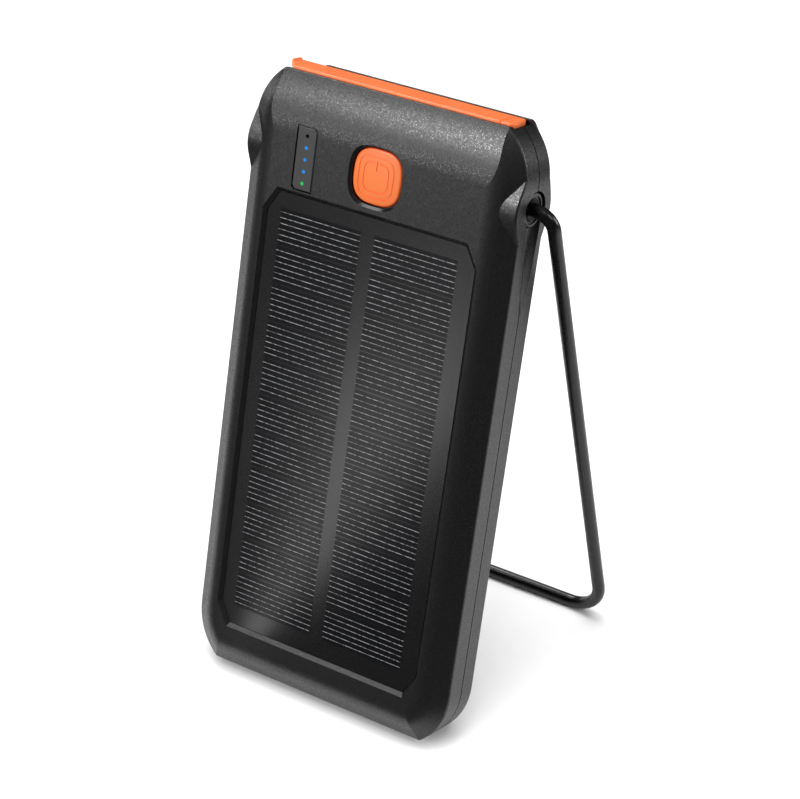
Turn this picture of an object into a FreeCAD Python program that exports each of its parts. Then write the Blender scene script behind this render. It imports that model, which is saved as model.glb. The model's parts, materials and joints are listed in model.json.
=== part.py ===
"""Solar phone charger: a slab with a solar panel, held up by a folding wire stand.

Every piece is drawn in the slab's own frame (x across, y from the front face to the back, z up the
slab), and place_in_world leans them all back together until slab and stand share one floor.
"""
import FreeCAD, Part
import math
import os

V = FreeCAD.Vector
ACROSS, BACKWARD, UP = V(1, 0, 0), V(0, 1, 0), V(0, 0, 1)
SIDES = (-1, 1)

# Body outline and section
HEIGHT = 150.0
WIDTH = 73.4
DEPTH = 17.8
BAND_FRONT = 3.7          # from the front face back to the flat side band, and the same at the rear
SLOPE_WIDTH = 5.6         # of the sloping border between the band and either face
SLOPE_BLEND = 8.0         # radius between that slope and the face
EDGE_ROUND = 0.8          # radius between that slope and the band
HEAD_ROUND = 0.3          # radius between the head slope and the top face
CORNER_RADIUS = 16.4      # of the outline's corner arcs, tangent to the long sides
CORNER_RISE = 13.0        # height of each corner arc
HEAD_SLOPE = 13.5         # height of the curved slope at the top of the front
PARTING = 9.1             # plane where the two shells meet
WALL = 1.8
REVEAL = 0.3              # width and depth of the shadow line at the parting plane
HALF_WIDTH = WIDTH / 2
CORNER_X = HALF_WIDTH - CORNER_RADIUS

# Solar panel, in its bevelled window
WINDOW_HALF = 29.45
WINDOW_BOTTOM, WINDOW_TOP = 11.05, 123.2
WINDOW_CLIP = (3.45, 5.65)           # across and along the slab, cut off each corner
BEVEL = 0.9              # width and depth of the bevel round the window
PANEL_GAP = 0.15
PANEL_FACE = 0.9          # depth of the panel's face below the front of the body
CELL_LAYER, BOARD_LAYER, ADHESIVE, POCKET_FLOOR = 0.4, 1.2, 0.3, 1.3
POCKET_WALL = 1.35
CELL_THICK = 0.25
COLUMN_CENTRES = (-13.6, 12.6)
COLUMN_WIDTH = 22.4
CELL_ROWS = 11
ROW_PITCH = 9.26
FINGERS = 6
FINGER_PITCH = 1.37
FINGER_WIDTH, FINGER_THICK = 0.12, 0.03
FIRST_FINGER = 117.3      # height of the topmost finger
CELL_HEIGHT = 8.9

# Hinge and wire stand
PIVOT_Y, PIVOT_Z = PARTING, 132.0
WIRE_RADIUS = 1.6
RUNNING_GAP = 0.05
LEG_OFFSET = 4.45         # from the side band out to the leg's centre line
LEG_LENGTH = 129.6        # from the hinge axis to the crossbar's centre line
STAND_ANGLE = 27.75       # between the legs and the slab
FOOT_BEND = 9.5
BOSS_INNER = 28.6
BOSS_RADIUS, BOSS_BLEND = 7.65, 5.0
BOSS_FRONT, BOSS_REAR = 0.1, 16.7     # where the straight sides of each lobe would meet
BOSS_FOOT = 9.1           # half the height of each lobe where it meets the side band
BOSS_ROOM = 12.5          # half the height of the whole boss, inside the body
BOSS_BEVEL = 0.35
SOCKET_RADIUS, SOCKET_DEPTH = 4.4, 1.6
BUSH_RADIUS, BUSH_INNER, BUSH_RECESS = 3.8, 30.2, 0.45
BUSH_MOUTH, BUSH_STEP, BUSH_FLARE = 3.35, 0.35, 1.3
GROOVE_END = 107.0        # where the relief below each socket runs out

# Power button and its switch
BUTTON_Z = 131.6
BUTTON_HALF = 6.5
BUTTON_TOP = 0.45
BUTTON_TRAVEL = 0.5
SQUIRCLE_POWER = 2.9
WELL_HALF = 7.3
WELL_DEPTH = 0.5
DOME_RADIUS = 60.0
RINGS = ((4.7, 0.27), (3.35, 0.21))   # half-size and half-width of each engraved ring
ENGRAVING, RING_GAP = 0.14, 0.7
RING_POWER = 3.8
TICK_FOOT, TICK_TOP = 1.5, 3.7
FLANGE_HALF, FLANGE_THICK = 7.4, 0.8

# Battery level indicator
PLATE_X, PLATE_Z = -19.45, 131.2
PLATE_WIDTH, PLATE_HEIGHT, PLATE_THICK, PLATE_CLIP = 5.4, 14.9, 1.0, 0.8
PLATE_GAP = 0.2
PLATE_BEVEL = 0.25
DOT_X, DOT_TOP, DOT_PITCH, DOT_RADIUS = -19.35, 136.7, 2.8, 0.45

# Circuit board and its sockets, under the rubber port cover
PCB_FRONT, PCB_THICK = 4.8, 1.2
PCB_HALF, PCB_BOTTOM, PCB_TOP = 27.4, 106.0, 147.6
PORT_MOUTH = 148.4
USB_CENTRES = {"left": -15.5, "right": 2.5}
USB_SIZE = (13.2, 5.8, 14.0)
MICRO_X, MICRO_SIZE = 17.5, (7.6, 2.8, 5.5)
SHEET_METAL = 0.35
PORT_GAP = 0.3
COVER_FRONT, COVER_REAR = 5.2, 12.8
COVER_LEFT, COVER_RIGHT, COVER_TAB = -29.0, 30.4, -32.8
COVER_TAPER = 1.0         # the right end leans in by this much towards the rear
COVER_RECESS = 0.7
COVER_LIFT = 0.55         # how far the cover stands above the top face
COVER_HINGE_X = 26.4
COVER_GAP = 0.3
COVER_ROUND = 0.3
GRIP_RADIUS = 0.55
STEM_X, STEM_Y, BARB_OVERHANG = (27.6, 29.0), (7.0, 10.0), 0.35
LIP_LEFT, LIP_RISE, LIP_THICK = -29.5, 0.7, 0.6       # of the rim behind the cover

# Parts on the board: centre x, centre z, width, height, thickness
INDUCTORS = ((-15.5, 123.5, 7.2, 7.2, 4.2), (-4.5, 123.5, 7.2, 7.2, 4.2))
CHIPS = ((8.0, 126.0, 5.0, 4.0, 1.5), (8.0, 119.0, 5.0, 4.0, 1.5), (18.0, 122.5, 6.0, 6.0, 0.9))
CAPACITORS = tuple((x, z, 1.6, 3.2, 1.2) for x in (-21.8, 13.2, 23.2) for z in (119.0, 126.0))

# Battery pack and its leads
BATTERY_HALF, BATTERY_BOTTOM, BATTERY_TOP = 28.0, 12.0, 100.0
BATTERY_FRONT, BATTERY_REAR = 4.6, 14.2
TAB_GAP, PROTECTION_THICK = 0.4, 0.8
BATTERY_LEADS = (("red", -17.0), ("black", -13.5))
SOLAR_LEADS = (("red", -3.0), ("black", 3.0))
BATTERY_LEAD_RADIUS, SOLAR_LEAD_RADIUS = 0.6, 0.45
LEAD_SLOT_Z = 108.6

# Screws
CASE_SCREWS = ((-26.0, 8.5), (26.0, 8.5), (-25.5, 103.2), (25.5, 103.2))
PCB_SCREWS = ((-24.5, 110.0), (24.5, 110.0), (-24.8, 143.0), (24.8, 143.0))
SCREW_RADIUS, SCREW_HEAD, HEAD_THICK = 1.0, 1.8, 1.2
CASE_POST, BOARD_POST = 2.5, 2.2

PANEL_BACK = PANEL_FACE + CELL_LAYER + BOARD_LAYER
FLOOR_FRONT = PANEL_BACK + ADHESIVE
FLOOR_BACK = FLOOR_FRONT + POCKET_FLOOR
PCB_BACK = PCB_FRONT + PCB_THICK


# ---------------------------------------------------------------- drawing helpers
def plan(level):
    """Places a drawing seen from above."""
    return lambda p: V(p.x, p.y, level)


def elevation(level):
    """Places a drawing seen from the front."""
    return lambda p: V(p.x, level, p.y)


def section(level):
    """Places a drawing seen from the side."""
    return lambda p: V(level, p.x, p.y)


def rounded_edges(corners, place, closed=True):
    """Straight runs through (a, b, radius) corners, each corner rounded by a tangent arc."""
    count = len(corners)
    ends, edges = [], []
    for i, (a, b, radius) in enumerate(corners):
        here = V(a, b, 0)
        if radius <= 0 or (not closed and i in (0, count - 1)):
            ends.append((here, here))
            continue
        to_before = (V(*corners[i - 1][:2], 0) - here).normalize()
        to_after = (V(*corners[(i + 1) % count][:2], 0) - here).normalize()
        half = to_before.getAngle(to_after) / 2
        start = here + to_before * (radius / math.tan(half))
        end = here + to_after * (radius / math.tan(half))
        middle = here + (to_before + to_after).normalize() * (radius / math.sin(half) - radius)
        edges.append(Part.Arc(place(start), place(middle), place(end)).toShape())
        ends.append((start, end))
    for i in range(count if closed else count - 1):
        start, end = ends[i][1], ends[(i + 1) % count][0]
        if (end - start).Length > 1e-6:
            edges.append(Part.LineSegment(place(start), place(end)).toShape())
    return edges


def wire(edges):
    return Part.Wire(Part.__sortEdges__(edges))


def prism(corners, place, direction):
    return Part.Face(wire(rounded_edges(corners, place))).extrude(direction)


def box(x0, x1, y0, y1, z0, z1):
    return Part.makeBox(x1 - x0, y1 - y0, z1 - z0, V(x0, y0, z0))


def block(x, y0, y1, z, width, height, radius=0):
    """A plate centred on (x, z), from depth y0 to depth y1, with rounded corners."""
    a, b = width / 2, height / 2
    corners = [(x + a * sx, z + b * sz, radius) for sx, sz in ((-1, -1), (1, -1), (1, 1), (-1, 1))]
    return prism(corners, elevation(y0), BACKWARD * (y1 - y0))


def rod(radius, start, end):
    return Part.makeCylinder(radius, (end - start).Length, start, end - start)


def pin(radius, x, z, y0, y1):
    """A cylinder through the slab's depth."""
    return rod(radius, V(x, y0, z), V(x, y1, z))


def side_rod(radius, side, x0, x1):
    """A cylinder on the hinge axis, between two distances from the middle plane."""
    return rod(radius, V(side * x0, PIVOT_Y, PIVOT_Z), V(side * x1, PIVOT_Y, PIVOT_Z))


def squircle(half, level, power=SQUIRCLE_POWER):
    """Closed outline with bowed sides and round corners, from the superellipse formula."""
    points = []
    for step in range(32):
        angle = 2 * math.pi * step / 32
        c, s = math.cos(angle), math.sin(angle)
        reach = half / (abs(c) ** power + abs(s) ** power) ** (1 / power)
        points.append(V(reach * c, level, BUTTON_Z + reach * s))
    curve = Part.BSplineCurve()
    curve.interpolate(Points=points, PeriodicFlag=True)
    return Part.Wire(curve.toShape())


def squircle_plate(half, y0, y1, power=SQUIRCLE_POWER):
    return Part.Face(squircle(half, y0, power)).extrude(BACKWARD * (y1 - y0))


def squircle_ring(half, line):
    """A closed band, twice line wide, through the button's crown."""
    outside = squircle_plate(half + line, 0, 1.5, RING_POWER)
    return outside.cut(squircle_plate(half - line, 0, 1.5, RING_POWER))


def swept_rod(radius, corners, place):
    """A round bar along straight runs joined by tangent arcs."""
    path = wire(rounded_edges(corners, place, closed=False))
    start = place(V(*corners[0][:2], 0))
    tangent = place(V(*corners[1][:2], 0)) - start
    profile = Part.Wire(Part.makeCircle(radius, start, tangent))
    return path.makePipeShell([profile], True, False)


# ---------------------------------------------------------------- body form
def envelope(inset):
    """The body's outer form, or the same form with every face moved in by inset."""
    run = math.hypot(SLOPE_WIDTH, BAND_FRONT)
    band = BAND_FRONT + inset * (run - BAND_FRONT) / SLOPE_WIDTH
    face = SLOPE_WIDTH + inset * (run - SLOPE_WIDTH) / BAND_FRONT
    blend = SLOPE_BLEND - inset
    edge = max(EDGE_ROUND - inset, 0)
    back = DEPTH - inset
    rim = [(face, inset, blend), (inset, band, edge), (inset, DEPTH - band, edge), (face, back, blend)]

    right = [(HALF_WIDTH - u, y, r) for u, y, r in rim]
    left = [(-x, y, r) for x, y, r in reversed(right)]
    middle = prism(right + left, plan(CORNER_RISE), UP * (HEIGHT - 2 * CORNER_RISE))
    core = box(-CORNER_X, CORNER_X, inset, back, 0, HEIGHT)

    quarters = []
    spoke = [(0, inset, 0)] + [(CORNER_RADIUS - u, y, r) for u, y, r in rim] + [(0, back, 0)]
    for side in SIDES:
        for end in SIDES:
            centre = V(side * CORNER_X, 0, HEIGHT / 2 + end * (HEIGHT / 2 - CORNER_RISE))
            drawn = [(centre.x + side * rho, y, r) for rho, y, r in spoke]
            face_at_side = Part.Face(wire(rounded_edges(drawn, plan(centre.z))))
            quarters.append(face_at_side.revolve(centre, BACKWARD, -90 * side * end))

    # The two ends are trimmed by one side view, whose top front corner is the long curved head slope
    head_radius = (HEAD_SLOPE ** 2 + BAND_FRONT ** 2) / (2 * BAND_FRONT)
    head_start = HEIGHT - HEAD_SLOPE
    top = HEIGHT - inset

    def on_head(z):
        return V(head_radius - math.sqrt((head_radius - inset) ** 2 - (z - head_start) ** 2), z, 0)

    place = section(-WIDTH)
    lip = on_head(top)
    outline = [(lip.x, top, 0), (DEPTH - band, top, edge), (back, HEIGHT - face, blend),
               (back, face, blend), (DEPTH - band, inset, edge), (band, inset, edge),
               (inset, face, blend), (inset, head_start, 0)]
    edges = rounded_edges(outline, place, closed=False)
    head = [place(on_head(z)) for z in (head_start, (head_start + top) / 2, top)]
    edges.append(Part.Arc(*head).toShape())
    trim = Part.Face(wire(edges)).extrude(ACROSS * (2 * WIDTH))
    if edge > 0:
        at_lip = [e for e in trim.Edges if (e.Vertexes[0].Point - head[2]).cross(ACROSS).Length < 0.01]
        trim = trim.makeFillet(HEAD_ROUND, [e for e in at_lip if e.Length > WIDTH])
    return middle.fuse([core] + quarters).common(trim).removeSplitter()


def window_outline(inset, level):
    """The panel window's outline with clipped corners, moved in by inset."""
    half = WINDOW_HALF - inset
    low, high = WINDOW_BOTTOM + inset, WINDOW_TOP - inset
    ratio = math.hypot(*WINDOW_CLIP)
    clip_x = WINDOW_CLIP[0] - inset * (WINDOW_CLIP[0] + WINDOW_CLIP[1] - ratio) / WINDOW_CLIP[1]
    clip_z = WINDOW_CLIP[1] - inset * (WINDOW_CLIP[0] + WINDOW_CLIP[1] - ratio) / WINDOW_CLIP[0]
    corners = []
    for sx, sz in ((1, -1), (1, 1), (-1, 1), (-1, -1)):
        z = high if sz > 0 else low
        near_end = (sx * (half - clip_x), z, 0)
        near_side = (sx * half, z - sz * clip_z, 0)
        corners += [near_end, near_side] if sx * sz < 0 else [near_side, near_end]
    return wire(rounded_edges(corners, elevation(level)))


def window_plate(inset, y0, y1):
    return Part.Face(window_outline(inset, y0)).extrude(BACKWARD * (y1 - y0))


def plate_corners(grow):
    """The indicator plate's outline, clipped at two opposite corners."""
    a, b = PLATE_WIDTH / 2 + grow, PLATE_HEIGHT / 2 + grow
    return [(PLATE_X - a + PLATE_CLIP, PLATE_Z - b, 0), (PLATE_X + a, PLATE_Z - b, 0),
            (PLATE_X + a, PLATE_Z + b - PLATE_CLIP, 0), (PLATE_X + a - PLATE_CLIP, PLATE_Z + b, 0),
            (PLATE_X - a, PLATE_Z + b, 0), (PLATE_X - a, PLATE_Z - b + PLATE_CLIP, 0)]


# ---------------------------------------------------------------- shells
def hinge_cuts():
    """Sockets, bush bores and the tapering relief below each socket."""
    cuts = []
    for side in SIDES:
        cuts.append(side_rod(SOCKET_RADIUS, side, HALF_WIDTH - SOCKET_DEPTH, HALF_WIDTH + 5))
        cuts.append(side_rod(BUSH_RADIUS, side, BUSH_INNER, HALF_WIDTH))
        deep = V(side * (HALF_WIDTH - SOCKET_DEPTH + SOCKET_RADIUS), PIVOT_Y, PIVOT_Z)
        shallow = V(side * (HALF_WIDTH + SOCKET_RADIUS), PIVOT_Y, GROOVE_END)
        cuts.append(rod(SOCKET_RADIUS, deep, shallow))
    return cuts


def port_cuts():
    """Openings in the top wall for the three sockets and the cover's anchor, and the cover's recess."""
    below, above = HEIGHT - WALL - 1, HEIGHT + 1
    cuts = []
    for x, (width, depth, _) in [(x, USB_SIZE) for x in USB_CENTRES.values()] + [(MICRO_X, MICRO_SIZE)]:
        half = width / 2 + PORT_GAP
        cuts.append(box(x - half, x + half, PCB_BACK - 0.2, PCB_BACK + depth + PORT_GAP, below, above))
    cuts.append(box(*STEM_X, *STEM_Y, below, above))
    cuts.append(box(COVER_TAB - 1, COVER_RIGHT + COVER_GAP, COVER_FRONT - COVER_GAP, COVER_REAR + COVER_GAP,
                    HEIGHT - COVER_RECESS, HEIGHT + 1))
    return cuts


def hinge_boss(side):
    """Block behind each socket, with a lobe that stands out over the slopes, front and rear."""
    near, far = BAND_FRONT + 0.6, DEPTH - BAND_FRONT - 0.6
    low, high = PIVOT_Z - BOSS_ROOM, PIVOT_Z + BOSS_ROOM
    foot, crest = PIVOT_Z - BOSS_FOOT, PIVOT_Z + BOSS_FOOT
    profile = [(near + 0.3, high, 0), (near, crest, BOSS_BLEND), (BOSS_FRONT, PIVOT_Z, BOSS_RADIUS),
               (near, foot, BOSS_BLEND), (near + 0.3, low, 0), (far - 0.3, low, 0), (far, foot, BOSS_BLEND),
               (BOSS_REAR, PIVOT_Z, BOSS_RADIUS), (far, crest, BOSS_BLEND), (far - 0.3, high, 0)]
    block_out = prism(profile, section(side * BOSS_INNER), ACROSS * side * (HALF_WIDTH + 1 - BOSS_INNER))
    boss = block_out.common(outline_prism())
    outer = [e for e in boss.Edges if min(side * v.X for v in e.Vertexes) > HALF_WIDTH - 2]
    return boss.makeChamfer(BOSS_BEVEL, [e for e in outer if e.BoundBox.ZLength > 0.05])


def outline_prism(inset=0):
    """The body's front outline, or that outline moved in, carried straight through its depth."""
    top = HEIGHT - CORNER_RISE
    bar = box(inset - HALF_WIDTH, HALF_WIDTH - inset, 0, DEPTH, CORNER_RISE, top)
    arcs = [pin(CORNER_RADIUS - inset, side * CORNER_X, z, 0, DEPTH)
            for side in SIDES for z in (CORNER_RISE, top)]
    core = box(-CORNER_X, CORNER_X, 0, DEPTH, 0, HEIGHT)
    ends = box(-WIDTH, WIDTH, 0, DEPTH, inset, HEIGHT - inset)
    return bar.fuse(arcs + [core]).common(ends).removeSplitter()


def rear_lip():
    """Low rim behind the port cover, in line with the rear slope, running out into the corner's arc."""
    front = COVER_REAR + COVER_GAP
    crest = HEIGHT + LIP_RISE
    root = HEIGHT - 6
    profile = [(front, root, 0), (front, crest, 0.15), (front + LIP_THICK, crest, 0.2),
               (DEPTH - BAND_FRONT + 0.3, root, 0)]
    rim = prism(profile, section(LIP_LEFT), ACROSS * (HALF_WIDTH - LIP_LEFT))
    low = HEIGHT - 5.2
    ends = [(LIP_LEFT, HEIGHT - 1, 0), (LIP_LEFT + 5, crest + 0.1, 0), (COVER_RIGHT + 0.2, crest + 0.1, 2),
            (COVER_RIGHT + 4, low, 0), (COVER_RIGHT + 2, low, 0), (COVER_RIGHT - 1, HEIGHT - 1, 0)]
    return rim.common(prism(ends, elevation(0), BACKWARD * DEPTH))


def shell_halves():
    """The two shells: front with panel pocket, button well and indicator seat, rear with a plain back."""
    bosses = [hinge_boss(side) for side in SIDES]
    outer = envelope(0).fuse(bosses)
    hollow = envelope(WALL).cut(Part.makeCompound(bosses))
    beyond = 2 * HEIGHT
    front_zone = box(-beyond, beyond, -beyond, PARTING, -beyond, beyond)
    rear_zone = box(-beyond, beyond, PARTING, beyond, -beyond, beyond)
    shadow_line = box(-beyond, beyond, PARTING - REVEAL / 2, PARTING + REVEAL / 2, -beyond, beyond)
    under_line = envelope(REVEAL).fuse([boss.common(outline_prism(REVEAL)) for boss in bosses])
    shared = hinge_cuts() + port_cuts() + [shadow_line.cut(under_line)]

    front = outer.common(front_zone).cut(hollow)
    front = front.fuse(window_plate(-POCKET_WALL, WALL / 2, FLOOR_BACK).common(envelope(WALL / 2)))
    front = front.fuse(front_posts())
    front = front.cut(shared + front_openings())
    front = front.cut(envelope(WALL / 2).cut(envelope(WALL)).common(
        box(-beyond, beyond, PARTING - 1.2, PARTING, -beyond, beyond)).cut(Part.makeCompound(bosses)))

    rear = outer.common(rear_zone).cut(hollow)
    tongue = envelope(WALL / 2 + 0.1).cut(envelope(WALL)).common(
        box(-beyond, beyond, PARTING - 1.1, PARTING + 0.5, -beyond, beyond))
    rear = rear.fuse([tongue.cut(Part.makeCompound([b.makeOffsetShape(0.15, 0.01) for b in bosses]))])
    rear = rear.fuse(rear_pillars() + [rear_lip()])
    rear = rear.cut(shared + rear_openings())
    return front.removeSplitter(), rear.removeSplitter()


def front_posts():
    """Pillars inside the front shell: for the case screws, and for the circuit board."""
    under_pocket = FLOOR_FRONT + 0.2
    posts = [pin(CASE_POST, x, z, WALL, PARTING) for x, z in CASE_SCREWS[:2]]
    posts += [pin(CASE_POST, x, z, under_pocket, PARTING) for x, z in CASE_SCREWS[2:]]
    posts += [pin(BOARD_POST, x, z, under_pocket, PCB_FRONT) for x, z in PCB_SCREWS[:2]]
    posts += [pin(BOARD_POST, x, z, WALL, PCB_FRONT) for x, z in PCB_SCREWS[2:]]
    return [post.common(envelope(WALL / 2)) for post in posts]


def front_openings():
    """Panel window and pocket, button well, indicator seat, and the screws' pilot holes."""
    bevel = Part.makeLoft([window_outline(0, 0), window_outline(BEVEL, BEVEL)], True, True)
    mouth = window_plate(0, -1, 0)
    pocket = window_plate(BEVEL, BEVEL, FLOOR_FRONT)
    lead_slot = block(0, FLOOR_FRONT - 1, FLOOR_BACK + 1, LEAD_SLOT_Z, 12, 3.2, 1.2)
    well = Part.makeLoft([squircle(WELL_HALF, 0), squircle(BUTTON_HALF + 0.2, WELL_DEPTH)], True, True)
    well_mouth = squircle_plate(WELL_HALF, -1, 0)
    button_hole = squircle_plate(BUTTON_HALF + 0.2, WELL_DEPTH, WALL + 1)
    flange_room = squircle_plate(FLANGE_HALF + 0.2, WALL, FLOOR_BACK + 1)
    seat = prism(plate_corners(PLATE_GAP), elevation(-1), BACKWARD * (PLATE_THICK + 1))
    pipe_slot = block(DOT_X, PLATE_THICK - 0.1, WALL + 1, PLATE_Z, 2.4, PLATE_HEIGHT - 1.6, 1.1)
    pilots = [pin(SCREW_RADIUS, x, z, 3.2, PARTING + 1) for x, z in CASE_SCREWS]
    pilots += [pin(SCREW_RADIUS, x, z, 3.1, PCB_FRONT + 1) for x, z in PCB_SCREWS]
    button_room = [well_mouth, well, button_hole, flange_room]
    return [mouth, bevel, pocket, lead_slot, seat, pipe_slot] + button_room + pilots


def rear_pillars():
    return [pin(CASE_POST, x, z, PARTING, DEPTH - WALL / 2) for x, z in CASE_SCREWS]


def rear_openings():
    """Clearance holes and counterbores for the case screws."""
    holes = [pin(SCREW_RADIUS + 0.1, x, z, PARTING - 1, DEPTH + 1) for x, z in CASE_SCREWS]
    holes += [pin(SCREW_HEAD + 0.2, x, z, DEPTH - 2.4, DEPTH + 1) for x, z in CASE_SCREWS]
    return holes


# ---------------------------------------------------------------- solar panel
def cell_rows():
    """Centre height of each row of cells."""
    middle = FIRST_FINGER - FINGER_PITCH * (FINGERS - 1) / 2
    return [middle - ROW_PITCH * row for row in range(CELL_ROWS)]


def solar_cells():
    """Two columns of silicon strips, as separate solids."""
    return [block(x, PANEL_FACE, PANEL_FACE + CELL_THICK, z, COLUMN_WIDTH, CELL_HEIGHT)
            for x in COLUMN_CENTRES for z in cell_rows()]


def solar_fingers():
    """The silver contact lines printed on each cell."""
    half = (FINGERS - 1) / 2
    front = PANEL_FACE - FINGER_THICK
    return [block(x, front, PANEL_FACE, z + FINGER_PITCH * (half - n), COLUMN_WIDTH, FINGER_WIDTH)
            for x in COLUMN_CENTRES for z in cell_rows() for n in range(FINGERS)]


def panel_parts():
    plate_inset = BEVEL + PANEL_GAP
    cells = solar_cells()
    potting = window_plate(plate_inset, PANEL_FACE, PANEL_FACE + CELL_LAYER).cut(Part.makeCompound(cells))
    board = window_plate(plate_inset, PANEL_FACE + CELL_LAYER, PANEL_BACK)
    adhesive = window_plate(plate_inset + 0.4, PANEL_BACK, FLOOR_FRONT)
    adhesive = adhesive.cut(window_plate(plate_inset + 5, PANEL_BACK, FLOOR_FRONT))
    return {"solar_potting": potting, "solar_backing_board": board, "panel_adhesive": adhesive,
            "solar_cells": Part.makeCompound(cells), "solar_fingers": Part.makeCompound(solar_fingers())}


# ---------------------------------------------------------------- button and indicator
def power_button():
    """Domed cap with two engraved rings, the inner one broken by a tick, over a retaining flange."""
    centre = V(0, BUTTON_TOP + DOME_RADIUS, BUTTON_Z)
    cap = squircle_plate(BUTTON_HALF, BUTTON_TOP - 0.5, WALL + 0.4)
    cap = cap.common(Part.makeSphere(DOME_RADIUS, centre))
    crown = [e for e in cap.Edges if e.BoundBox.YMax < WALL]
    cap = cap.makeFillet(0.6, crown)
    under_line = Part.makeSphere(DOME_RADIUS - ENGRAVING, centre)
    outer, inner = [squircle_ring(half, line) for half, line in RINGS]
    inner = inner.cut(box(-RING_GAP, RING_GAP, -1, 2, BUTTON_Z, BUTTON_Z + 6))
    line = RINGS[1][1]
    tick = box(-line, line, 0, 1.5, BUTTON_Z + TICK_FOOT, BUTTON_Z + TICK_TOP)
    cap = cap.cut([cut.cut(under_line) for cut in (outer, inner, tick)])
    flange = squircle_plate(FLANGE_HALF, WALL + 0.15, WALL + 0.15 + FLANGE_THICK)
    return cap.fuse(flange).removeSplitter()


def switch_parts():
    """Low tactile switch on the board: a square body with a well, and the plunger the button rests on."""
    top = WALL + 0.15 + FLANGE_THICK
    body_front = PCB_FRONT - 1.4
    body = block(0, body_front, PCB_FRONT, BUTTON_Z, 6, 6, 0.5)
    body = body.cut(pin(1.7, 0, BUTTON_Z, body_front - 1, PCB_FRONT - 0.2))
    plunger = pin(1.6, 0, BUTTON_Z, top, PCB_FRONT - 0.2 - BUTTON_TRAVEL - 0.05)
    return {"switch_body": body, "switch_plunger": plunger}


def indicator_parts():
    """Flush plate with a pinhole and four light pipes, over five LEDs on the board."""
    heights = [DOT_TOP - DOT_PITCH * n for n in range(5)]
    plate = prism(plate_corners(0), elevation(0), BACKWARD * PLATE_THICK)
    front_rim = [e for e in plate.Edges if e.BoundBox.YMax < 0.01]
    plate = plate.makeChamfer(PLATE_BEVEL, front_rim)
    plate = plate.cut([pin(DOT_RADIUS, DOT_X, z, -1, PLATE_THICK + 1) for z in heights])
    led_front = PCB_FRONT - 0.6
    pipes = [pin(DOT_RADIUS, DOT_X, z, 0.03, PLATE_THICK).fuse(pin(0.8, DOT_X, z, PLATE_THICK, led_front))
             for z in heights[1:]]
    leds = [block(DOT_X, led_front, PCB_FRONT, z, 1.6, 0.9) for z in heights]
    return {"indicator_plate": plate, "light_pipes_blue": Part.makeCompound(pipes[:3]),
            "light_pipe_green": pipes[3], "indicator_leds": Part.makeCompound(leds)}


# ---------------------------------------------------------------- electronics
def main_pcb():
    """Board with screw holes and a notch in its lower edge for the panel's leads."""
    height = PCB_TOP - PCB_BOTTOM
    board = block(0, PCB_FRONT, PCB_BACK, PCB_BOTTOM + height / 2, 2 * PCB_HALF, height, 2)
    board = board.cut(block(0, PCB_FRONT - 1, PCB_BACK + 1, PCB_BOTTOM + 1, 13, 7, 1))
    return board.cut([pin(SCREW_RADIUS + 0.1, x, z, 0, DEPTH) for x, z in PCB_SCREWS])


def usb_a_parts():
    """Sheet-metal shells with a plastic tongue and four contacts each."""
    width, depth, length = USB_SIZE
    middle = PCB_BACK + depth / 2
    parts, contacts = {}, []
    for name, x in USB_CENTRES.items():
        shell = box(x - width / 2, x + width / 2, PCB_BACK, PCB_BACK + depth,
                    PORT_MOUTH - length, PORT_MOUTH)
        inside = box(x - width / 2 + SHEET_METAL, x + width / 2 - SHEET_METAL, PCB_BACK + SHEET_METAL,
                     PCB_BACK + depth - SHEET_METAL, PORT_MOUTH - length + 1, PORT_MOUTH + 1)
        parts["usb_a_shell_" + name] = shell.cut(inside)
        foot = PORT_MOUTH - length + 1
        tongue = box(x - 5.6, x + 5.6, middle + 0.3, middle + 2.1, foot, PORT_MOUTH - 1.2)
        parts["usb_a_tongue_" + name] = tongue
        for n in range(4):
            cx = x + (n - 1.5) * 2.3
            contacts.append(box(cx - 0.5, cx + 0.5, middle + 0.15, middle + 0.3, foot + 1, PORT_MOUTH - 2))
    parts["usb_contacts"] = Part.makeCompound(contacts)
    return parts


def micro_usb_parts():
    width, depth, length = MICRO_SIZE
    rear = PCB_BACK + depth
    bottom = PORT_MOUTH - length
    chamfered = [(-width / 2, PCB_BACK, 0.6), (width / 2, PCB_BACK, 0.6), (width / 2, rear - 1.1, 0),
                 (width / 2 - 0.9, rear, 0), (-width / 2 + 0.9, rear, 0), (-width / 2, rear - 1.1, 0)]
    outside = prism([(MICRO_X + a, b, r) for a, b, r in chamfered], plan(bottom), UP * length)
    across = (width - 2 * SHEET_METAL) / width
    through = (depth - 2 * SHEET_METAL) / depth
    inner = [(a * across, PCB_BACK + SHEET_METAL + (b - PCB_BACK) * through, r * across)
             for a, b, r in chamfered]
    inside = prism([(MICRO_X + a, b, r) for a, b, r in inner], plan(bottom + 0.6), UP * length)
    tongue = box(MICRO_X - 1.9, MICRO_X + 1.9, PCB_BACK + 1.1, PCB_BACK + 1.7,
                 bottom + 0.6, PORT_MOUTH - 0.6)
    return {"micro_usb_shell": outside.cut(inside), "micro_usb_tongue": tongue}


def board_components():
    """The larger parts on the back of the board."""
    groups = {"power_inductors": (INDUCTORS, 1.6), "controller_chips": (CHIPS, 0),
              "ceramic_capacitors": (CAPACITORS, 0)}
    return {name: Part.makeCompound([block(x, PCB_BACK, PCB_BACK + thick, z, width, height, corner)
                                     for x, z, width, height, thick in members])
            for name, (members, corner) in groups.items()}


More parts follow.
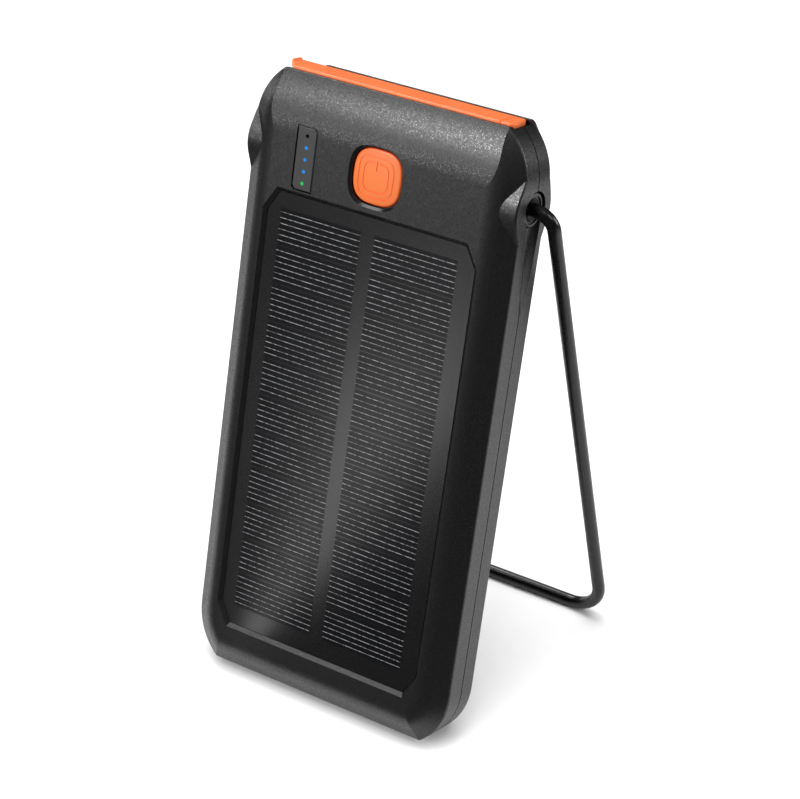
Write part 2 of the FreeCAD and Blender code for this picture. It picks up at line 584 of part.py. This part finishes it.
# ---------------------------------------------------------------- battery
def battery_parts():
    """Pouch cell between a tape and a foam pad, with its protection board across the top."""
    middle = (BATTERY_BOTTOM + BATTERY_TOP) / 2
    height = BATTERY_TOP - BATTERY_BOTTOM
    cell = block(0, BATTERY_FRONT, BATTERY_REAR, middle, 2 * BATTERY_HALF, height, 2)
    cell = cell.makeFillet(1.2, [e for e in cell.Edges if e.BoundBox.YLength < 0.01])
    tape = block(0, FLOOR_BACK, BATTERY_FRONT, middle, 40, 70)
    pad = block(0, BATTERY_REAR, DEPTH - WALL, middle, 44, 74, 3)
    foot = BATTERY_TOP + TAB_GAP
    board = box(-20, 20, BATTERY_FRONT + 1, BATTERY_REAR - 1, foot, foot + PROTECTION_THICK)
    tabs = [box(x - 2.5, x + 2.5, 9.3, 9.5, BATTERY_TOP, foot) for x in (-12, 12)]
    return {"battery_cell": cell, "battery_tape": tape, "battery_pad": pad,
            "battery_protection_board": board, "battery_tabs": Part.makeCompound(tabs)}


def lead_parts():
    """Battery leads up to the board, and panel leads back through the notch and up to the board."""
    parts = {}
    start = BATTERY_TOP + TAB_GAP + PROTECTION_THICK
    for name, x in BATTERY_LEADS:
        route = [(10.6, start, 0), (10.6, 112.0, 3.6), (PCB_BACK, 112.0, 0)]
        parts["battery_lead_" + name] = swept_rod(BATTERY_LEAD_RADIUS, route, section(x))
    for name, x in SOLAR_LEADS:
        route = [(PANEL_BACK, LEAD_SLOT_Z, 0), (8.6, LEAD_SLOT_Z, 1.6),
                 (8.6, 113.5, 1.6), (PCB_BACK, 113.5, 0)]
        parts["solar_lead_" + name] = swept_rod(SOLAR_LEAD_RADIUS, route, section(x))
    return parts


# ---------------------------------------------------------------- port cover
def cover_axis():
    """Height of the cover's hinge line: the middle of its thickness."""
    return HEIGHT + (COVER_LIFT - COVER_RECESS + 0.1) / 2


def cover_parts():
    """Rubber strip over the sockets: a flap with plugs and a pull tab, and the anchor it hinges on."""
    low, high = HEIGHT - COVER_RECESS + 0.1, HEIGHT + COVER_LIFT
    knuckle = (high - low) / 2
    outline = [(COVER_LEFT, COVER_FRONT, 0.8), (COVER_HINGE_X, COVER_FRONT, 0),
               (COVER_HINGE_X, COVER_REAR, 0), (COVER_TAB, COVER_REAR, 1.1),
               (COVER_TAB + 0.7, 8.9, 1.0), (COVER_LEFT - 1.6, 7.8, 0.6)]
    strip = prism(outline, plan(low), UP * (high - low))
    top_rim = [e for e in strip.Edges if e.BoundBox.ZMin > high - 0.01]
    strip = strip.makeFillet(COVER_ROUND, [e for e in top_rim if e.BoundBox.XMin < COVER_HINGE_X - 0.1])
    axis = V(COVER_HINGE_X, COVER_FRONT, cover_axis())
    roll = rod(knuckle, axis, axis + BACKWARD * (COVER_REAR - COVER_FRONT))
    plugs = [box(x - 6.5, x + 6.5, PCB_BACK + 0.2, PCB_BACK + USB_SIZE[1] - 0.1, HEIGHT - 1.3, low)
             for x in USB_CENTRES.values()]
    plugs.append(box(MICRO_X - 3.6, MICRO_X + 3.6, PCB_BACK + 0.2, PCB_BACK + MICRO_SIZE[1] - 0.1,
                     HEIGHT - 1.3, low))
    grip_ends = [V(COVER_TAB + 0.9, 9.6, high), V(COVER_TAB + 1, COVER_REAR - 0.9, high)]
    grip = [rod(GRIP_RADIUS, *grip_ends)] + [Part.makeSphere(GRIP_RADIUS, end) for end in grip_ends]
    flap = strip.fuse([roll] + grip + plugs).removeSplitter()

    end = [(COVER_HINGE_X, COVER_FRONT, 0), (COVER_RIGHT, COVER_FRONT, 1.2),
           (COVER_RIGHT - COVER_TAPER, COVER_REAR, 1.2), (COVER_HINGE_X, COVER_REAR, 0)]
    anchor = prism(end, plan(low), UP * (high - low))
    top_rim = [e for e in anchor.Edges if e.BoundBox.ZMin > high - 0.01]
    anchor = anchor.makeFillet(COVER_ROUND, [e for e in top_rim if e.BoundBox.XMax > COVER_HINGE_X + 0.1])
    clear = rod(knuckle + 0.1, axis - BACKWARD, axis + BACKWARD * (COVER_REAR - COVER_FRONT + 1))
    beside = box(COVER_HINGE_X - 1, COVER_HINGE_X + knuckle + 0.1, 0, DEPTH, low - 1, high + 1)
    anchor = anchor.cut([clear, beside])
    under_wall = HEIGHT - WALL - 0.1
    stem = box(*STEM_X, *STEM_Y, under_wall, low)
    barb = box(STEM_X[0] - BARB_OVERHANG, STEM_X[1] + BARB_OVERHANG,
               STEM_Y[0] - BARB_OVERHANG, STEM_Y[1] + BARB_OVERHANG, under_wall - 1, under_wall)
    return {"port_cover": flap, "port_cover_anchor": anchor.fuse([stem, barb]).removeSplitter()}


# ---------------------------------------------------------------- stand, bushes and screws
def stand_point(x, along, angle):
    """A point of the stand's plane: along the leg from the hinge axis, at an angle from the slab."""
    turn = math.radians(angle)
    return V(x, PIVOT_Y + along * math.sin(turn), PIVOT_Z - along * math.cos(turn))


def wire_stand():
    """One bent wire: two inward ends on the hinge axis, two legs and the crossbar."""
    leg = HALF_WIDTH + LEG_OFFSET
    tip = BUSH_INNER + 0.3
    corners = [(-tip, 0, 0), (-leg, 0, LEG_OFFSET), (-leg, LEG_LENGTH, FOOT_BEND),
               (leg, LEG_LENGTH, FOOT_BEND), (leg, 0, LEG_OFFSET), (tip, 0, 0)]
    return swept_rod(WIRE_RADIUS, corners, lambda p: stand_point(p.x, p.y, STAND_ANGLE))


def pivot_bush(side):
    """Plastic bush with a raised ring round its flared mouth, between the two shells."""
    rim = HALF_WIDTH - BUSH_RECESS
    face = rim - BUSH_STEP
    bush = side_rod(BUSH_RADIUS, side, BUSH_INNER, rim)
    step = side_rod(BUSH_MOUTH, side, face, rim + 1)
    bore = side_rod(WIRE_RADIUS + RUNNING_GAP, side, BUSH_INNER - 1, face + 1)
    flare = V(side * (face - BUSH_FLARE), PIVOT_Y, PIVOT_Z)
    mouth = Part.makeCone(WIRE_RADIUS + RUNNING_GAP, BUSH_MOUTH - 0.5, BUSH_FLARE, flare, ACROSS * side)
    return bush.cut([step, bore, mouth])


def screws():
    """Pan-head screws: four through the rear shell, four through the circuit board."""
    return {"case_screws": Part.makeCompound([screw(x, z, 3.6, DEPTH - 2 * HEAD_THICK)
                                              for x, z in CASE_SCREWS]),
            "pcb_screws": Part.makeCompound([screw(x, z, 3.3, PCB_BACK) for x, z in PCB_SCREWS])}


def screw(x, z, tip, seat):
    """One screw, from its tip to the seat of its head, with a cross recess in the head."""
    top = seat + HEAD_THICK
    wide, narrow = 1.1, 0.25
    slots = [box(x - a, x + a, top - HEAD_THICK / 2, top + 1, z - b, z + b)
             for a, b in ((wide, narrow), (narrow, wide))]
    return pin(SCREW_RADIUS, x, z, tip, seat).fuse(pin(SCREW_HEAD, x, z, seat, top)).cut(slots)


# ---------------------------------------------------------------- assembly
def lean():
    """Angle, in degrees, at which the lower rear edge and the crossbar touch one floor."""
    half_turn = math.atan2(SLOPE_WIDTH, BAND_FRONT) / 2
    edge = V(0, DEPTH - BAND_FRONT - EDGE_ROUND * math.tan(half_turn), EDGE_ROUND)
    bar = stand_point(0, LEG_LENGTH, STAND_ANGLE)
    gap = bar - edge
    drop = math.asin((EDGE_ROUND - WIRE_RADIUS) / math.hypot(gap.y, gap.z))
    return math.degrees(math.atan2(gap.z, gap.y) + drop)


def all_parts():
    front, rear = shell_halves()
    parts = {"front_shell": front, "rear_shell": rear, "power_button": power_button(),
             "main_pcb": main_pcb(), "wire_stand": wire_stand(),
             "pivot_bush_left": pivot_bush(-1), "pivot_bush_right": pivot_bush(1)}
    for group in (panel_parts, switch_parts, indicator_parts, usb_a_parts, micro_usb_parts, board_components,
                  battery_parts, lead_parts, cover_parts, screws):
        parts.update(group())
    return parts


def place_in_world(parts):
    """Leans the assembly back and moves its origin to the middle of its footprint, on the floor."""
    angle = lean()
    for shape in parts.values():
        shape.rotate(V(0, 0, 0), ACROSS, -angle)
    extent = Part.makeCompound(list(parts.values())).optimalBoundingBox(False)
    shift = V(0, -(extent.YMin + extent.YMax) / 2, -extent.ZMin)
    for shape in parts.values():
        shape.translate(shift)
    return FreeCAD.Placement(shift, FreeCAD.Rotation(ACROSS, -angle))


def main():
    os.makedirs("parts", exist_ok=True)
    parts = all_parts()
    frame = place_in_world(parts)
    for name, shape in sorted(parts.items()):
        solids = len(shape.Solids)
        print(f"{name:26s} solids {solids:3d} valid {shape.isValid()} volume {shape.Volume:9.1f}")
        shape.exportStep(os.path.join("parts", name + ".step"))
    print("lean", round(lean(), 3))
    print("hinge axis at", frame.multVec(V(0, PIVOT_Y, PIVOT_Z)))
    button = frame.multVec(V(0, BUTTON_TOP, BUTTON_Z))
    print("button axis at", button, "along", frame.Rotation.multVec(BACKWARD))
    middle = (COVER_FRONT + COVER_REAR) / 2
    print("cover hinge at", frame.multVec(V(COVER_HINGE_X, middle, cover_axis())))


main()
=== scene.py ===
"""Looks for the solar phone charger: materials, camera, floor and lights, around the CAD frame."""
import json
import math

import bpy
from mathutils import Matrix, Vector

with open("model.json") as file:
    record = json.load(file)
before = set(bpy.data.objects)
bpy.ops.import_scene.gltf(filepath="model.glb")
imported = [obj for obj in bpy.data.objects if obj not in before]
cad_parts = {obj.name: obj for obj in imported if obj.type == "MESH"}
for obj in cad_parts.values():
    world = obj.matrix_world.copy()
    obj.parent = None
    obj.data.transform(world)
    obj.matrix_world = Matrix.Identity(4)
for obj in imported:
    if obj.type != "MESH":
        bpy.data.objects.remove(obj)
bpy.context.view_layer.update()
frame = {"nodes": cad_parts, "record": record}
NODES = frame["nodes"]
MIX_COLOUR_INPUTS, MIX_COLOUR_RESULT = (6, 7), 2      # the Mix node's colour sockets, by place

# The button's well, which is polished, unlike the face round it
LEAN = math.radians(15.697)
FORWARD = (0.0, -math.cos(LEAN), math.sin(LEAN))
FACING_FORWARD = 0.85         # least dot product with FORWARD of a surface that counts as the face
BUTTON_CENTRE = (0.0, -0.00146, 0.1303)
WELL_RADIUS = 0.0095

# Spark-eroded grain of the shells: cells per metre, lengths in metres
GRAIN_CELLS = 2600
GRAIN_DEPTH = 0.00001
FLAKE_CELLS = 3600
FLAKE_LEAN = 0.07             # sideways lean of a flake's normal
SHELL_SPECULAR, COAT_SPECULAR = 0.41, 0.32
CREASE_SHADE_REACH = 0.0007         # distance over which painted shade darkens the colour in a crease of the cover


# ---------------------------------------------------------------- material helpers
def new_material(name):
    """An empty node material with its principled shader wired to the output."""
    material = bpy.data.materials.new(name)
    material.use_nodes = True
    tree = material.node_tree
    tree.nodes.clear()
    output = tree.nodes.new("ShaderNodeOutputMaterial")
    shader = tree.nodes.new("ShaderNodeBsdfPrincipled")
    tree.links.new(shader.outputs["BSDF"], output.inputs["Surface"])
    return material, tree, shader


def add(tree, kind, **settings):
    """A node with its properties and input values set by name; links are (node, socket) pairs."""
    node = tree.nodes.new(kind)
    for key, value in settings.items():
        if hasattr(node, key):
            setattr(node, key, value)
            continue
        socket = node.inputs[key.replace("_", " ")]
        if isinstance(value, bpy.types.NodeSocket):
            tree.links.new(value, socket)
        else:
            socket.default_value = value
    return node


def place(tree):
    """Object coordinates, which for every piece are the frame's own metres."""
    return add(tree, "ShaderNodeTexCoord").outputs["Object"]


def noise(tree, where, per_metre, detail, roughness=0.55):
    return add(tree, "ShaderNodeTexNoise", Vector=where, Scale=per_metre, Detail=detail,
               Roughness=roughness).outputs["Fac"]


def ramp(tree, value, stops):
    """Colour or grey steps along a 0 to 1 value."""
    node = add(tree, "ShaderNodeValToRGB", Fac=value)
    elements = node.color_ramp.elements
    while len(elements) < len(stops):
        elements.new(0.5)
    for element, (position, colour) in zip(elements, stops):
        element.position = position
        element.color = (*colour, 1) if len(colour) == 3 else (colour[0],) * 3 + (1,)
    return node.outputs["Color"]


def bump(tree, height, depth, strength, normal=None):
    """A normal roughened by a height, which is depth metres at its most."""
    node = add(tree, "ShaderNodeBump", Height=height, Strength=strength, Distance=depth)
    if normal is not None:
        tree.links.new(normal, node.inputs["Normal"])
    return node.outputs["Normal"]


def mixed(tree, factor, first, second):
    """Colours mixed by a factor: first at 0, second at 1."""
    node = add(tree, "ShaderNodeMix", data_type="RGBA")
    tree.links.new(factor, node.inputs["Factor"])
    for place_in, value in zip(MIX_COLOUR_INPUTS, (first, second)):
        if isinstance(value, bpy.types.NodeSocket):
            tree.links.new(value, node.inputs[place_in])
        else:
            node.inputs[place_in].default_value = value
    return node.outputs[MIX_COLOUR_RESULT]


def compare(tree, operation, vectors, limit):
    """1 where a measure of a linked and a fixed vector is above the limit, else 0."""
    measure = add(tree, "ShaderNodeVectorMath", operation=operation)
    tree.links.new(vectors[0], measure.inputs[0])
    measure.inputs[1].default_value = vectors[1]
    result = add(tree, "ShaderNodeMath", operation="GREATER_THAN")
    tree.links.new(measure.outputs["Value"], result.inputs[0])
    result.inputs[1].default_value = limit
    return result.outputs["Value"]


def vector_math(tree, operation, first, second=None):
    """The vector that an operation makes of linked or fixed vectors."""
    node = tree.nodes.new("ShaderNodeVectorMath")
    node.operation = operation
    for socket, value in zip(node.inputs, (first, second)):
        if isinstance(value, bpy.types.NodeSocket):
            tree.links.new(value, socket)
        elif value is not None:
            socket.default_value = value
    return node.outputs["Vector"]


def wire_up(tree, shader, **sockets):
    """Link or set the shader's inputs by name."""
    for key, value in sockets.items():
        socket = shader.inputs[key.replace("_", " ")]
        if isinstance(value, bpy.types.NodeSocket):
            tree.links.new(value, socket)
        else:
            socket.default_value = value


def rgb(*values):
    return (*values, 1.0)


# ---------------------------------------------------------------- materials
def outside_well(tree, where, normal):
    """1 on the textured shell, 0 on the walls and floor of the button's well."""
    either = add(tree, "ShaderNodeMath", operation="MAXIMUM")
    away = compare(tree, "DISTANCE", (where, BUTTON_CENTRE), WELL_RADIUS)
    on_face = compare(tree, "DOT_PRODUCT", (normal, FORWARD), FACING_FORWARD)
    tree.links.new(away, either.inputs[0])
    tree.links.new(on_face, either.inputs[1])
    return either.outputs["Value"]


def spark_plastic(name, colour, rough=0.33):
    """Charcoal plastic, spark-eroded and finely flaked; the button's well is polished."""
    material, tree, shader = new_material(name)
    where = place(tree)
    normal = add(tree, "ShaderNodeNewGeometry").outputs["Normal"]
    grain = add(tree, "ShaderNodeTexVoronoi", Vector=where, Scale=GRAIN_CELLS).outputs["Distance"]
    dark, light = [tuple(c * k for c in colour) for k in (0.6, 1.5)]
    base = ramp(tree, grain, ((0.2, light), (0.55, dark)))
    flakes = add(tree, "ShaderNodeTexVoronoi", Vector=where, Scale=FLAKE_CELLS).outputs["Color"]
    centred = vector_math(tree, "SUBTRACT", flakes, (0.5, 0.5, 0.5))
    tilt = vector_math(tree, "MULTIPLY", centred, (FLAKE_LEAN, FLAKE_LEAN, FLAKE_LEAN))
    facing = vector_math(tree, "ADD", normal, tilt)
    surface = bump(tree, grain, GRAIN_DEPTH, 0.3, vector_math(tree, "NORMALIZE", facing))
    roughness = ramp(tree, grain, ((0.2, (rough - 0.09,)), (0.55, (rough + 0.09,))))
    polish = mixed(tree, outside_well(tree, where, normal), WELL_GLOSS, roughness)
    wire_up(tree, shader, Base_Color=base, Roughness=polish, Normal=surface)
    shader.inputs["Specular IOR Level"].default_value = SHELL_SPECULAR
    return material


def moulded_plastic(name, colour, rough=0.4, grain=0.00002, scale=1800, variation=0.08,
                    crease_shade_colour=None):
    """Moulded plastic or rubber: colour clouds, fine grain, uneven gloss, and painted shade
    darkening the creases when a shade colour is given.
    """
    material, tree, shader = new_material(name)
    where = place(tree)
    dark, light = [tuple(c * k for c in colour) for k in (1 - variation, 1 + variation)]
    base = ramp(tree, noise(tree, where, 140, 4), ((0.3, dark), (0.7, light)))
    if crease_shade_colour:
        # painted shade: ambient occlusion mixes the colour towards the shade colour in creases and
        # grooves
        openness = add(tree, "ShaderNodeAmbientOcclusion", Distance=CREASE_SHADE_REACH,
                       samples=8).outputs["AO"]
        depth = ramp(tree, openness, ((0.55, (1,)), (0.97, (0,))))
        base = mixed(tree, depth, base, rgb(*crease_shade_colour))
    roughness = ramp(tree, noise(tree, where, 500, 3),
                     ((0.3, (rough - 0.05,)), (0.7, (rough + 0.07,))))
    surface = bump(tree, noise(tree, where, scale, 4, 0.65), grain, 0.5)
    wire_up(tree, shader, Base_Color=base, Roughness=roughness, Normal=surface)
    return material


def laminate(name, colour, rough, gloss):
    """Dark panel face under a clear satin film, with a faint unevenness in the film."""
    material, tree, shader = new_material(name)
    where = place(tree)
    dark, light = [tuple(c * k for c in colour) for k in (0.85, 1.2)]
    base = ramp(tree, noise(tree, where, 45, 3), ((0.3, dark), (0.7, light)))
    film = bump(tree, noise(tree, where, 2200, 3), 0.000006, 0.3)
    wire_up(tree, shader, Base_Color=base, Roughness=rough, Normal=film)
    shader.inputs["Specular IOR Level"].default_value = gloss
    return material


def metal(name, colour, rough, brushed=True):
    """Bare or plated metal with an uneven gloss, drawn out upwards when it is brushed."""
    material, tree, shader = new_material(name)
    where = place(tree)
    stretch = add(tree, "ShaderNodeMapping", Vector=where)
    stretch.inputs["Scale"].default_value = (1, 1, 0.04) if brushed else (1, 1, 1)
    lines = noise(tree, stretch.outputs["Vector"], 2500, 3)
    roughness = ramp(tree, lines, ((0.3, (rough - 0.06,)), (0.7, (rough + 0.1,))))
    surface = bump(tree, lines, 0.00001, 0.3)
    wire_up(tree, shader, Base_Color=rgb(*colour), Metallic=1.0, Roughness=roughness,
            Normal=surface)
    return material


def powder_coat(name, colour, rough):
    """Black powder coat on wire: soft orange peel under a satin gloss."""
    material, tree, shader = new_material(name)
    where = place(tree)
    peel = bump(tree, noise(tree, where, 1400, 2, 0.5), 0.00004, 0.5)
    roughness = ramp(tree, noise(tree, where, 300, 3),
                     ((0.3, (rough - 0.05,)), (0.7, (rough + 0.06,))))
    wire_up(tree, shader, Base_Color=rgb(*colour), Roughness=roughness, Normal=peel)
    shader.inputs["Specular IOR Level"].default_value = COAT_SPECULAR
    return material


def printed_silver(name, colour):
    """Screen-printed silver line, brighter where the print caught the cell's texture."""
    material, tree, shader = new_material(name)
    dark, light = [tuple(c * k for c in colour) for k in (0.3, 1.9)]
    base = ramp(tree, noise(tree, place(tree), 1500, 1), ((0.4, dark), (0.6, light)))
    wire_up(tree, shader, Base_Color=base, Roughness=0.5)
    return material


def lit_lens(name, colour, strength):
    """A light pipe's end, glowing unevenly."""
    material, tree, shader = new_material(name)
    where = place(tree)
    faint = tuple(c * 0.8 for c in colour)
    glow = ramp(tree, noise(tree, where, 1500, 2), ((0.2, faint), (0.8, colour)))
    wire_up(tree, shader, Base_Color=glow, Roughness=0.2, Emission_Color=glow,
            Emission_Strength=strength)
    return material


CHARCOAL = (0.0065, 0.0066, 0.0068)
WELL_GLOSS = rgb(0.2, 0.2, 0.2)
ORANGE = (0.78, 0.150, 0.031)
KEY_ORANGE = (0.52, 0.105, 0.008)
# painted shade colour that the key's engraved rings darken towards
KEY_CREASE_SHADE_ORANGE = (0.72, 0.085, 0.012)
LOOKS = {
    "shell": spark_plastic("shell_plastic", CHARCOAL),
    "orange_rubber": moulded_plastic("orange_rubber", ORANGE, 0.42, 0.00003, 1500, 0.06),
    "orange_key": moulded_plastic("orange_key", KEY_ORANGE, 0.45, 0.00002, 2200, 0.03,
                                  KEY_CREASE_SHADE_ORANGE),
    "panel": laminate("panel_face", (0.004, 0.0041, 0.0044), 0.16, 0.95),
    "cell": laminate("silicon_cell", (0.003, 0.0032, 0.0038), 0.16, 0.4),
    "silver_print": printed_silver("silver_print", (0.14, 0.14, 0.145)),
    "board": moulded_plastic("solder_mask", (0.015, 0.11, 0.04), 0.3),
    "black_board": moulded_plastic("black_board", (0.015, 0.015, 0.016), 0.35),
    "adhesive": moulded_plastic("white_tape", (0.7, 0.69, 0.65), 0.7, 0.0001, 900),
    "indicator_black": moulded_plastic("indicator_insert", (0.014, 0.0142, 0.0147), 0.4),
    "lens_blue": lit_lens("lens_blue", (0.0, 0.14, 0.45), 0.2),
    "lens_green": lit_lens("lens_green", (0.01, 0.3, 0.05), 0.25),
    "led_package": moulded_plastic("led_package", (0.7, 0.68, 0.5), 0.4),
    "steel_wire": powder_coat("powder_coat", (0.003, 0.003, 0.0034), 0.28),
    "black_plastic": moulded_plastic("black_acetal", (0.006, 0.006, 0.0065), 0.4),
    "connector_steel": metal("plated_steel", (0.72, 0.72, 0.72), 0.28),
    "connector_plastic": moulded_plastic("white_nylon", (0.75, 0.74, 0.7), 0.45),
    "contact_gold": metal("gold_contact", (0.83, 0.62, 0.25), 0.2),
    "chip_black": moulded_plastic("chip_epoxy", (0.02, 0.02, 0.021), 0.5),
    "ferrite": moulded_plastic("ferrite", (0.09, 0.09, 0.095), 0.6, 0.0001, 1200),
    "ceramic": moulded_plastic("ceramic", (0.45, 0.3, 0.17), 0.4),
    "battery_foil": metal("pouch_foil", (0.68, 0.69, 0.71), 0.35, False),
    "foam": moulded_plastic("foam", (0.04, 0.04, 0.045), 0.9, 0.0002, 1500),
    "nickel": metal("nickel", (0.65, 0.62, 0.56), 0.25),
    "lead_red": moulded_plastic("lead_red", (0.5, 0.02, 0.02), 0.5),
    "lead_black": moulded_plastic("lead_black", (0.015, 0.015, 0.015), 0.5),
    "screw_steel": metal("black_oxide", (0.18, 0.18, 0.19), 0.35),
}


def dress_cad_nodes():
    """Give every CAD piece the look that its record names."""
    for part in frame["record"]["subparts"]:
        node = NODES[part["node"]]
        node.data.materials.clear()
        node.data.materials.append(LOOKS[part["material_slot"]])


# ---------------------------------------------------------------- camera
AZIMUTH, ELEVATION, ROLL = (math.radians(angle) for angle in (34.626, 32.468, -1.506))
CAMERA_DISTANCE = 0.58653
CAMERA_AIM = (0.00363, 0.00046, 0.07135)
FOCAL_LENGTH, SENSOR_WIDTH = 111.06, 36               # millimetres


def make_camera():
    """Long lens, in front, to the right and above, very slightly rolled."""
    level = math.cos(ELEVATION)
    away = Vector((math.sin(AZIMUTH) * level, -math.cos(AZIMUTH) * level, math.sin(ELEVATION)))
    camera = bpy.data.objects.new("camera", bpy.data.cameras.new("camera"))
    camera.data.lens = FOCAL_LENGTH
    camera.data.sensor_width = SENSOR_WIDTH
    camera.data.clip_start = 0.01
    camera.data.clip_end = 20
    turn = away.to_track_quat("Z", "Y").to_matrix().to_4x4() @ Matrix.Rotation(ROLL, 4, "Z")
    camera.matrix_world = Matrix.Translation(Vector(CAMERA_AIM) + away * CAMERA_DISTANCE) @ turn
    bpy.context.scene.collection.objects.link(camera)
    bpy.context.scene.camera = camera


# ---------------------------------------------------------------- stage
MIDDLE = (0, 0, 0.07)         # what every lamp points at
FLOOR_HALF = 3.0
# The object mirrors the near floor and one strip in front, given by the middle and half-width of
# its two ends, but not the rest of the floor
NEAR_FLOOR = (-0.5, -0.045, 0.5, 0.3)
GLEAM_NEAR, GLEAM_FAR = (-0.029, 0.0003), (-1.56, 0.16)
FLOOR_SUN = (3.1, 1.25)       # power and spread
# Name, direction from the object, distance, size and power
FLOOR_LAMPS = (
    ("floor_spot", (0.02, -0.06, 1.0), 1.2, (0.4, 0.4), 4),
    ("floor_front", (-0.4, -0.8, 0.45), 1.2, (0.9, 0.5), 10),
    ("floor_right", (0.8, -0.25, 0.55), 1.2, (0.8, 0.5), 6),
)
PRODUCT_LAMPS = (
    ("overhead", (-0.09, 0.31, 0.95), 1.14, (1.6, 1.1), 2),
    ("key", (-0.31, -0.66, 0.66), 0.95, (0.26, 0.26), 9.6),
    ("top_left", (-0.479, -0.15, 0.865), 0.95, (0.35, 0.3), 2),
    ("well_glint", (0.35, -0.25, 0.9), 0.95, (0.25, 0.25), 0.8),
    ("left_low", (-0.94, 0.25, 0.12), 0.95, (0.5, 0.2), 1.2),
    ("front_fill", (-0.48, -0.83, 0.25), 0.95, (0.3, 0.14), 1.5),
    ("back_left", (-0.52, 0.5, 0.7), 0.95, (0.35, 0.3), 4.2),
    ("back_right", (0.75, 0.65, 0.27), 1.0, (0.4, 0.4), 4.6),
    ("right_edge", (0.66, -0.02, 0.62), 0.95, (0.12, 0.3), 1.8),
)


def lamp(name, direction, distance, size, power, only):
    """A softbox aimed at the middle of the object, which lights one collection only."""
    light = bpy.data.lights.new(name, "AREA")
    light.shape = "RECTANGLE"
    light.size, light.size_y = size
    light.energy = power
    away = Vector(direction).normalized()
    softbox = bpy.data.objects.new(name, light)
    softbox.location = Vector(MIDDLE) + away * distance
    softbox.rotation_euler = away.to_track_quat("Z", "Y").to_euler()
    softbox.light_linking.receiver_collection = only
    bpy.context.scene.collection.objects.link(softbox)


def floor_sun(power, spread, only):
    """A very soft even light from overhead, so that the floor stays pale to its edge."""
    light = bpy.data.lights.new("floor_sun", "SUN")
    light.energy = power
    light.angle = spread
    sun = bpy.data.objects.new("floor_sun", light)
    sun.light_linking.receiver_collection = only
    bpy.context.scene.collection.objects.link(sun)


def make_sky():
    """A dim even sky that the camera sees as white."""
    world = bpy.data.worlds.new("sky")
    bpy.context.scene.world = world
    world.use_nodes = True
    tree = world.node_tree
    dim = tree.nodes["Background"]
    dim.inputs["Color"].default_value = (0.92, 0.93, 0.95, 1)
    dim.inputs["Strength"].default_value = 0.05
    seen = add(tree, "ShaderNodeBackground", Color=(0.96, 0.96, 0.96, 1), Strength=1.0)
    path = tree.nodes.new("ShaderNodeLightPath")
    choice = tree.nodes.new("ShaderNodeMixShader")
    tree.links.new(path.outputs["Is Camera Ray"], choice.inputs[0])
    tree.links.new(dim.outputs["Background"], choice.inputs[1])
    tree.links.new(seen.outputs["Background"], choice.inputs[2])
    tree.links.new(choice.outputs["Shader"], tree.nodes["World Output"].inputs["Surface"])


def floor_piece(name, paint, outlines):
    """Flat sheets of floor, each given as its corners seen from above."""
    mesh = bpy.data.meshes.new(name)
    corners = [(x, y, 0) for outline in outlines for x, y in outline]
    faces = [tuple(range(first, first + 4)) for first in range(0, len(corners), 4)]
    mesh.from_pydata(corners, [], faces)
    floor = bpy.data.objects.new(name, mesh)
    floor.data.materials.append(paint)
    bpy.context.scene.collection.objects.link(floor)
    return floor


def rectangle(west, south, east, north):
    """Corners of a rectangle of floor."""
    return [(west, south), (east, south), (east, north), (west, north)]


def make_floor():
    """Pale floor in two sheets, of which the object mirrors only the near one."""
    paint = moulded_plastic("floor_paint", (0.92, 0.92, 0.92), 0.85, 0.0001, 40, 0.01)
    west, south, east, north = NEAR_FLOOR
    edge = FLOOR_HALF
    (near_x, near_half), (far_x, far_half) = GLEAM_NEAR, GLEAM_FAR
    near_left, near_right = (near_x - near_half, south), (near_x + near_half, south)
    far_left, far_right = (far_x - far_half, -edge), (far_x + far_half, -edge)
    strip = [far_left, far_right, near_right, near_left]
    near = floor_piece("near_floor", paint, [rectangle(*NEAR_FLOOR), strip])
    behind = rectangle(-edge, north, edge, edge)
    beside = [rectangle(-edge, south, west, north), rectangle(east, south, edge, north)]
    in_front = [[(-edge, -edge), far_left, near_left, (-edge, south)],
                [far_right, (edge, -edge), (edge, south), near_right]]
    far = floor_piece("far_floor", paint, [behind] + beside + in_front)
    far.visible_glossy = False
    return near, far


def make_lights(floor):
    """Lamps for the object and lamps for the floor, each lighting nothing else."""
    product = bpy.data.collections.new("product")
    for node in NODES.values():
        product.objects.link(node)
    stage = bpy.data.collections.new("stage")
    for sheet in floor:
        stage.objects.link(sheet)
    floor_sun(*FLOOR_SUN, stage)
    for settings in FLOOR_LAMPS:
        lamp(*settings, stage)
    for settings in PRODUCT_LAMPS:
        lamp(*settings, product)


dress_cad_nodes()
make_camera()
make_lights(make_floor())
make_sky()
bpy.context.scene.view_settings.view_transform = "Standard"
